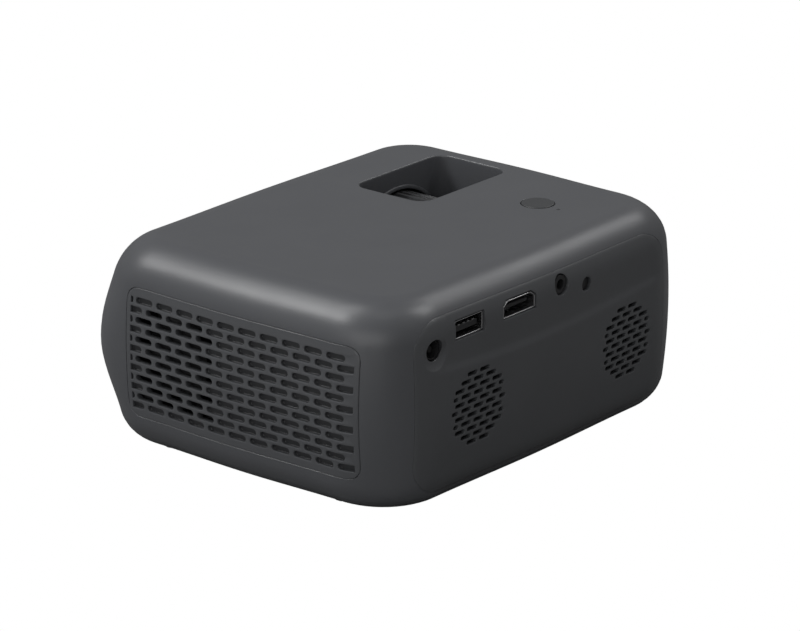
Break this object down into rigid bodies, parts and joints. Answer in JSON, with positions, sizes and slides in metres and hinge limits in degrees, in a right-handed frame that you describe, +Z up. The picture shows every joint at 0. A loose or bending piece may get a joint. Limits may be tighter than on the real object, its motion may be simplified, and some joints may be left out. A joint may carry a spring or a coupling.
{
  "type": "video projector with disc drive",
  "caption": "Compact video projector with rounded dark grey casing, finger well over a ribbed focus ring, rear sockets and a slim disc tray in the front.",
  "frame": {"origin": "middle of the overall box in plan, on the plane that the feet stand on", "axes": "+Z up, lens and disc tray face -Y, sockets and loudspeakers face +Y, air outlet faces +X"},
  "size_m": [0.1624, 0.1352, 0.07],
  "materials": {
    "shell_plastic": "fine matt moulded texture",
    "base_plastic": "fine matt moulded texture",
    "grille_plastic": "fine matt moulded texture",
    "rear_plastic": "fine matt moulded texture",
    "bezel_plastic": "fine matt moulded texture",
    "button_plastic": "satin",
    "ring_plastic": "satin",
    "gloss_black": "polished",
    "trim_metal": "satin dark",
    "light_pipe": "clear tip",
    "screw_steel": "plated",
    "foot_rubber": "matt",
    "black_plastic": "matt",
    "lens_glass": "coated",
    "mirror_silver": "polished",
    "lcd_glass": "polished",
    "reflector_metal": "polished",
    "lamp_board": "white board",
    "sink_aluminium": "extruded",
    "drive_steel": "pressed sheet",
    "cone_paper": "coated paper",
    "magnet_metal": "plated",
    "board_green": "solder mask",
    "chip_black": "moulded",
    "socket_metal": "plated",
    "socket_plastic": "moulded",
    "tray_plastic": "moulded"
  },
  "bodies": {
    "housing": {"upper_shell": "shell_plastic", "base_cover": "base_plastic", "vent_grille": "grille_plastic", "rear_panel": "rear_plastic", "lens_panel": "gloss_black", "lens_trim": "trim_metal", "power_light": "light_pipe", "case_screws": "screw_steel", "foot_pads": "foot_rubber", "lens_mount": "black_plastic", "optical_housing": "black_plastic", "optical_lid": "black_plastic", "fold_mirror": "mirror_silver", "field_lens": "lens_glass", "lcd_panel": "lcd_glass", "condenser_lens": "lens_glass", "collimator_lens": "lens_glass", "led_reflector": "reflector_metal", "led_module": "lamp_board", "heat_sink": "sink_aluminium", "fan_frame": "black_plastic", "speaker_frames": "drive_steel", "speaker_cones": "cone_paper", "speaker_magnets": "magnet_metal", "main_board": "board_green", "board_chips": "chip_black", "usb_shell": "socket_metal", "usb_tongue": "socket_plastic", "hdmi_shell": "socket_metal", "hdmi_tongue": "socket_plastic", "dc_jack": "socket_plastic", "dc_pin": "socket_metal", "headphone_jack": "socket_plastic", "ir_receiver": "chip_black", "key_board": "board_green", "tact_switch": "chip_black", "drive_chassis": "drive_steel", "drive_cover": "drive_steel"},
    "tray": {"disc_tray": "tray_plastic", "tray_bezel": "bezel_plastic", "tray_base": "drive_steel", "spindle_motor": "magnet_metal", "guide_rods": "screw_steel", "feed_motor": "magnet_metal"},
    "rails": {"tray_rails": "drive_steel"},
    "eject": {"eject_button": "button_plastic"},
    "spindle": {"spindle_hub": "tray_plastic"},
    "pickup": {"pickup_sled": "tray_plastic", "pickup_lens": "lens_glass"},
    "feed": {"lead_screw": "screw_steel"},
    "focus": {"focus_ring": "ring_plastic"},
    "lens": {"lens_barrel": "black_plastic", "front_lens": "lens_glass", "middle_lens": "lens_glass", "rear_lens": "lens_glass"},
    "fan": {"fan_rotor": "black_plastic"},
    "power": {"power_button": "button_plastic"}
  },
  "joints": [
    {"name": "tray_slide", "type": "slide", "parent": "housing", "child": "tray", "axis": [0, -1, 0], "range_m": [0, 0.12]},
    {"name": "rail_slide", "type": "slide", "parent": "housing", "child": "rails", "axis": [0, -1, 0], "range_m": [0, 0.06]},
    {"name": "eject_press", "type": "slide", "parent": "tray", "child": "eject", "axis": [0, 1, 0], "range_m": [0, 0.0006], "stiffness_N_per_m": 300},
    {"name": "spindle_spin", "type": "hinge", "parent": "tray", "child": "spindle", "pos_m": [0, 0.00258, 0.008], "axis": [0, 0, 1], "continuous": true},
    {"name": "pickup_slide", "type": "slide", "parent": "tray", "child": "pickup", "axis": [0.866, 0.5, 0], "range_m": [0, 0.033]},
    {"name": "screw_turn", "type": "hinge", "parent": "tray", "child": "feed", "pos_m": [0.01748, 0.0323, 0.00635], "axis": [0.866, 0.5, 0], "range_deg": [0, 4200]},
    {"name": "focus_turn", "type": "hinge", "parent": "housing", "child": "focus", "pos_m": [-0.0404, -0.02, 0.0378], "axis": [0, 1, 0], "range_deg": [-70, 70]},
    {"name": "lens_slide", "type": "slide", "parent": "housing", "child": "lens", "axis": [0, -1, 0], "range_m": [-0.0024, 0.0024]},
    {"name": "fan_spin", "type": "hinge", "parent": "housing", "child": "fan", "pos_m": [0.07, -0.02348, 0.0354], "axis": [1, 0, 0], "continuous": true},
    {"name": "power_press", "type": "slide", "parent": "housing", "child": "power", "axis": [0, 0, -1], "range_m": [0, 0.0008], "stiffness_N_per_m": 400}
  ],
  "couplings": [
    {"joint": "rail_slide", "follows": "tray_slide", "ratio": 0.5},
    {"joint": "screw_turn", "follows": "pickup_slide", "rad_per_m": 2094.4},
    {"joint": "lens_slide", "follows": "focus_turn", "m_per_rad": 0.001883}
  ]
}
